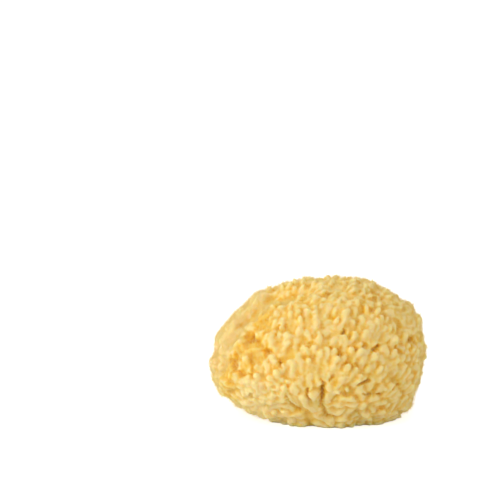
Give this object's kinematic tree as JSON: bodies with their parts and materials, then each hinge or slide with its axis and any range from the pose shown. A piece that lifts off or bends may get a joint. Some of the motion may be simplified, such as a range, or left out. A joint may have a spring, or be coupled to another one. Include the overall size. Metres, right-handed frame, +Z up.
{
  "type": "sea sponge",
  "caption": "Dried natural wool sea sponge: a bun-shaped body covered all over in short rounded lobes, cut off flat underneath so that it rests on the cut.",
  "frame": {"origin": "middle of the bounding box seen from above, at the height of the flat cut face that the sponge rests on", "axes": "+Z up, away from the cut face; +X along the sponge's longest extent; -Y is the front"},
  "size_m": [0.1, 0.082, 0.064],
  "materials": {
    "spongin": "matte dry spongin fibre, pale straw yellow on the lobes, golden orange in the crevices"
  },
  "bodies": {
    "root": {"sponge": "spongin"}
  },
  "joints": []
}
